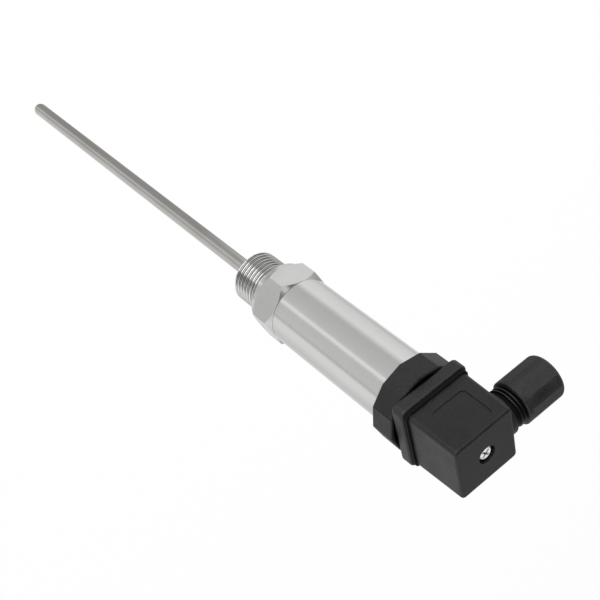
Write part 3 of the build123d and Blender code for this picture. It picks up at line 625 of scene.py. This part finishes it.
def joined_copy(solid, name, drop_face, extra_mesh, finishes):
    base = solid.data.copy()
    carried = base.attributes.new("carried_normal", "FLOAT_VECTOR", "CORNER")
    normals = [part for corner in base.corner_normals for part in corner.vector]
    carried.data.foreach_set("vector", normals)
    for polygon in extra_mesh.polygons:
        polygon.material_index = 1
    work = bmesh.new()
    work.from_mesh(base)
    bmesh.ops.remove_doubles(work, verts=work.verts, dist=weld_distance)
    bmesh.ops.delete(work, geom=[face for face in work.faces if drop_face(face)], context="FACES")
    for face in work.faces:
        face.material_index = 0
    work.from_mesh(extra_mesh)
    mesh = bpy.data.meshes.new(name)
    work.to_mesh(mesh)
    work.free()
    bpy.data.meshes.remove(base)
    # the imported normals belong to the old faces, so they go before the carried ones are set
    if "custom_normal" in mesh.attributes:
        mesh.attributes.remove(mesh.attributes["custom_normal"])
    for polygon in mesh.polygons:
        polygon.use_smooth = True
    mesh.set_sharp_from_angle(angle=sharp_angle)
    smoothed = [corner.vector.copy() for corner in mesh.corner_normals]
    kept = [item.vector.copy() for item in mesh.attributes["carried_normal"].data]
    mesh.attributes.remove(mesh.attributes["carried_normal"])
    mixed = [own if old.length < 0.5 else old for own, old in zip(smoothed, kept)]
    mesh.normals_split_custom_set(mixed)
    for finish in finishes:
        mesh.materials.append(finish)
    piece = bpy.data.objects.new(name, mesh)
    bpy.context.collection.objects.link(piece)
    return piece


# %% [markdown]
# ## The fitting's thread
# The pitch is that of fourteen threads to the inch, which is a guess: the real crests lie a little
# closer together. Crests and roots are rounded. There is a run-in at the free end, a wide last groove
# and a short land under the ring. The faces that make way for the thread lie below the sealing face,
# at height 0, and reach out past the bore of the stem.
# %% Process fitting with its thread
thread_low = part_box("process_fitting")[0].z
relief_top = -0.0038
land_top = -0.00275
stem_bore = 0.00301
thread_crest = 0.0104775
process_thread = mesh_from_tree(thread_tree, "process_thread", {
    "Low end": thread_low, "High end": 0.0, "Pitch": 0.0254 / 14, "Crest radius": thread_crest,
    "Root radius": 0.00932, "Rim radius": thread_crest, "Land radius": 0.0104,
    "Shoulder radius": thread_crest, "Lead-in": 0.0009, "Last groove": relief_top - thread_low,
    "Land start": land_top - thread_low, "End bore": stem_bore,
    "Crest share": 0.0, "Root share": 0.0, "Start turn": 0.75,
    "Points round": 145, "Rows per pitch": 20, "Finish": thread_steel_painted_light,
})
outward(process_thread)


def is_plain_thread(face):
    radii = [math.hypot(v.co.x, v.co.y) for v in face.verts]
    return min(v.co.z for v in face.verts) < -0.0001 and max(radii) > stem_bore + 0.0005


threaded_fitting = joined_copy(nodes["process_fitting"], "threaded_fitting", is_plain_thread,
                               process_thread, (turned_steel, thread_steel_painted_light))
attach(threaded_fitting, "sensor")
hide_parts("process_fitting")
print("process thread:", len(process_thread.polygons), "faces from", round(1000 * thread_low, 1), "mm")
print("threaded fitting:", len(threaded_fitting.data.polygons), "faces")

# %% [markdown]
# ## The gland's thread
# The nut runs on the plug's own plastic thread. Three turns of it show between the plug and the nut,
# and the rest comes to light when the nut is screwed off. It is the same tree with a wider root,
# turned to point along the gland, and its last groove is the wide relief beside the plug's boss.
# %% Plug housing with its gland thread
neck_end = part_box("plug_housing")[1].x
boss_end = 0.0152
land_start = 0.0158
last_groove = 0.0166
neck_bore = 0.0058
neck_root = 0.00693
gland_thread = mesh_from_tree(thread_tree, "gland_thread", {
    "Low end": -neck_end, "High end": -boss_end, "Pitch": 0.0254 / 18, "Crest radius": 0.0076,
    "Root radius": neck_root, "Rim radius": neck_root, "Land radius": neck_root,
    "Shoulder radius": neck_root, "Lead-in": 0.0005,
    "Last groove": neck_end - last_groove, "Land start": neck_end - land_start, "End bore": neck_bore,
    "Crest share": 0.20, "Root share": 0.40, "Start turn": 0.215,
    "Points round": 97, "Rows per pitch": 16, "Finish": thread_plastic,
})
turned_to_x = Matrix.Rotation(-math.pi / 2, 4, "Y")
gland_thread.transform(Matrix.Translation((0, 0, gland_axis_z)) @ turned_to_x)
outward(gland_thread)


def is_plain_neck(face):
    radii = [math.hypot(v.co.y, v.co.z - gland_axis_z) for v in face.verts]
    return max(v.co.x for v in face.verts) > boss_end + 0.00005 and max(radii) > neck_bore + 0.0004


threaded_plug = joined_copy(nodes["plug_housing"], "threaded_plug", is_plain_neck,
                            gland_thread, (black_plastic, thread_plastic))
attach(threaded_plug, "plug")
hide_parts("plug_housing")
print("gland thread:", len(gland_thread.polygons), "faces up to", round(1000 * neck_end, 1), "mm")
print("threaded plug:", len(threaded_plug.data.polygons), "faces")

# %% [markdown]
# ## Floor and backdrop
# The sensor is screwed into something in use, so here it hangs above a pale floor. The floor is
# plain white to the rays that look at it, mixed with a little diffuse colour, which keeps the soft
# shadow that falls on it. In reflections the tent of the next step takes its place.
# %% Floor
floor_height = cad_low[2] - 0.09
floor_half = 3.0
plain_share = 0.96


def build_floor():
    mesh = bpy.data.meshes.new("studio_floor")
    work = bmesh.new()
    corners = [(-floor_half, -floor_half), (floor_half, -floor_half),
               (floor_half, floor_half), (-floor_half, floor_half)]
    work.faces.new([work.verts.new((x, y, floor_height)) for x, y in corners])
    work.to_mesh(mesh)
    work.free()
    floor = bpy.data.objects.new("studio_floor", mesh)
    bpy.context.collection.objects.link(floor)
    material = bpy.data.materials.new("Pale floor")
    material.use_nodes = True
    tree = material.node_tree
    tree.nodes.clear()
    out = add_node(tree, "ShaderNodeOutputMaterial")
    diffuse = add_node(tree, "ShaderNodeBsdfDiffuse")
    diffuse.inputs["Color"].default_value = (0.98, 0.98, 0.98, 1.0)
    plain = add_node(tree, "ShaderNodeEmission")
    plain.inputs["Color"].default_value = (1.0, 1.0, 1.0, 1.0)
    plain.inputs["Strength"].default_value = 1.0
    mix = add_node(tree, "ShaderNodeMixShader")
    rays = add_node(tree, "ShaderNodeLightPath")
    seen = maths(tree, "MAXIMUM", rays.outputs["Is Camera Ray"], rays.outputs["Is Glossy Ray"])
    seen = maths(tree, "MAXIMUM", seen, rays.outputs["Is Transmission Ray"])
    join(tree, maths(tree, "MULTIPLY", seen, plain_share), mix.inputs["Fac"])
    join(tree, diffuse.outputs[0], mix.inputs[1])
    join(tree, plain.outputs[0], mix.inputs[2])
    join(tree, mix.outputs[0], out.inputs["Surface"])
    mesh.materials.append(material)
    floor.visible_glossy = False
    return floor


studio_floor = build_floor()
print(studio_floor.name, "at", round(1000 * floor_height), "mm")

# %% [markdown]
# ## The light tent
# Bright metal shows what stands round it. A product is photographed in a white tent with dark
# cards, a strip light and an opening for the lens. The world does the same: it is white to the
# camera, an even light on dull surfaces, and in reflections its brightness depends on the
# direction. A colour ramp is a ring of the tent: it gives the brightness for each direction round
# the sensor, in degrees from +X. Four rings are blended by height, and the roof is dark:
# `low` is under the sensor, `side` below the horizon, `middle` across it, with the strip light, and
# `high` above it.
# %% World
def tent_ring(tree, share, levels):
    ring = add_node(tree, "ShaderNodeValToRGB")
    elements = ring.color_ramp.elements
    for index, (degrees, level) in enumerate(levels):
        spot = (degrees + 180) / 360
        element = elements[index] if index < 2 else elements.new(spot)
        element.position = spot
        element.color = (level, level, level, 1.0)
    join(tree, share, ring.inputs["Fac"])
    return ring.outputs["Color"]


def plain_light(tree, strength):
    light = add_node(tree, "ShaderNodeBackground")
    light.inputs["Color"].default_value = (1.0, 1.0, 1.0, 1.0)
    light.inputs["Strength"].default_value = strength
    return light


def build_tent():
    world = bpy.data.worlds.new("Light tent")
    bpy.context.scene.world = world
    world.use_nodes = True
    tree = world.node_tree
    tree.nodes.clear()
    out = add_node(tree, "ShaderNodeOutputWorld")
    direction = add_node(tree, "ShaderNodeTexCoord")
    parts = add_node(tree, "ShaderNodeSeparateXYZ")
    join(tree, direction.outputs["Generated"], parts.inputs[0])
    azimuth = maths(tree, "ARCTAN2", parts.outputs["Y"], parts.outputs["X"])
    share = maths(tree, "MULTIPLY_ADD", azimuth, 0.5 / math.pi, 0.5)
    low = tent_ring(tree, share, [
        (-180, 0.85), (-150, 0.84), (-100, 0.86), (-70, 0.66), (-50, 0.44), (-20, 0.43), (10, 0.42),
        (75, 0.44), (102, 0.50), (112, 0.80), (128, 0.80), (138, 0.58), (160, 0.60), (168, 0.82)])
    side = tent_ring(tree, share, [
        (-180, 0.62), (-172, 0.90), (-150, 0.86), (-118, 0.68), (-60, 0.83), (-45, 0.86), (-30, 0.70),
        (-21, 0.58), (-9, 0.76), (15, 0.86), (42, 0.94), (50, 0.76), (60, 0.58), (118, 0.66),
        (122, 0.98), (129, 0.98), (134, 0.65), (172, 0.68), (177, 0.54)])
    middle = tent_ring(tree, share, [
        (-180, 0.75), (-152, 0.95), (-110, 0.60), (-60, 0.44), (-4, 0.48), (30, 0.85), (60, 0.95),
        (86, 0.95), (95, 2.60), (134, 2.60), (142, 0.34), (158, 0.38), (168, 0.76)])
    high = tent_ring(tree, share, [
        (-180, 0.80), (-152, 0.98), (-110, 0.66), (-65, 0.41), (-30, 0.26), (-4, 0.12), (37, 0.20),
        (75, 0.24), (86, 0.80), (98, 0.80), (106, 0.36), (120, 0.30), (150, 0.36), (170, 0.66)])
    roof = (0.05, 0.05, 0.05)
    ring = side
    for start, end, other in ((-0.66, -0.72, low), (-0.36, -0.20, middle), (0.50, 0.70, high),
                              (0.77, 0.83, roof)):
        step = new_range(tree, parts.outputs["Z"], start, end, kind="SMOOTHSTEP")
        ring = mix_colours(tree, step, ring, other)
    tent = add_node(tree, "ShaderNodeBackground")
    join(tree, ring, tent.inputs["Color"])
    tent.inputs["Strength"].default_value = 1.0
    white = plain_light(tree, 1.0)
    soft = plain_light(tree, 0.45)
    rays = add_node(tree, "ShaderNodeLightPath")
    first = add_node(tree, "ShaderNodeMixShader")
    join(tree, rays.outputs["Is Glossy Ray"], first.inputs["Fac"])
    join(tree, soft.outputs[0], first.inputs[1])
    join(tree, tent.outputs[0], first.inputs[2])
    second = add_node(tree, "ShaderNodeMixShader")
    seen = maths(tree, "MAXIMUM", rays.outputs["Is Camera Ray"], rays.outputs["Is Transmission Ray"])
    join(tree, seen, second.inputs["Fac"])
    join(tree, first.outputs[0], second.inputs[1])
    join(tree, white.outputs[0], second.inputs[2])
    join(tree, second.outputs[0], out.inputs["Surface"])
    return world


tent_world = build_tent()
print("world:", tent_world.name)

# %% [markdown]
# ## Lamps
# Three large soft lamps light the sensor at a plain level, at which a white card would render
# just under white. The key is overhead, a fill stands at the left, and a rim behind at the right.
# Metal doesn't mirror them, because the tent already holds all that it should show.
# %% Lamps
def soft_lamp(name, place, target, size, power):
    lamp_data = bpy.data.lights.new(name, "AREA")
    lamp_data.shape = "RECTANGLE"
    lamp_data.size, lamp_data.size_y = size
    lamp_data.energy = power
    lamp = bpy.data.objects.new(name, lamp_data)
    lamp.visible_glossy = False
    bpy.context.collection.objects.link(lamp)
    lamp.location = place
    lamp.rotation_euler = (Vector(target) - Vector(place)).to_track_quat("-Z", "Y").to_euler()
    return lamp


key_lamp = soft_lamp("key_lamp", (0.15, 0.25, 1.0), (0, 0, 0), (0.8, 0.8), 7.0)
fill_lamp = soft_lamp("fill_lamp", (-0.9, 0.1, 0.5), (0, 0, 0), (0.7, 0.7), 3.0)
rim_lamp = soft_lamp("rim_lamp", (0.8, -0.3, 0.5), (0, 0, 0.05), (0.5, 0.5), 2.0)
for lamp in (key_lamp, fill_lamp, rim_lamp):
    print(lamp.name, lamp.data.energy, "W")

# %% [markdown]
# ## Colour
# The view transform is Standard, so a colour shows as it is written.
# %% Finish
bpy.context.scene.view_settings.view_transform = "Standard"
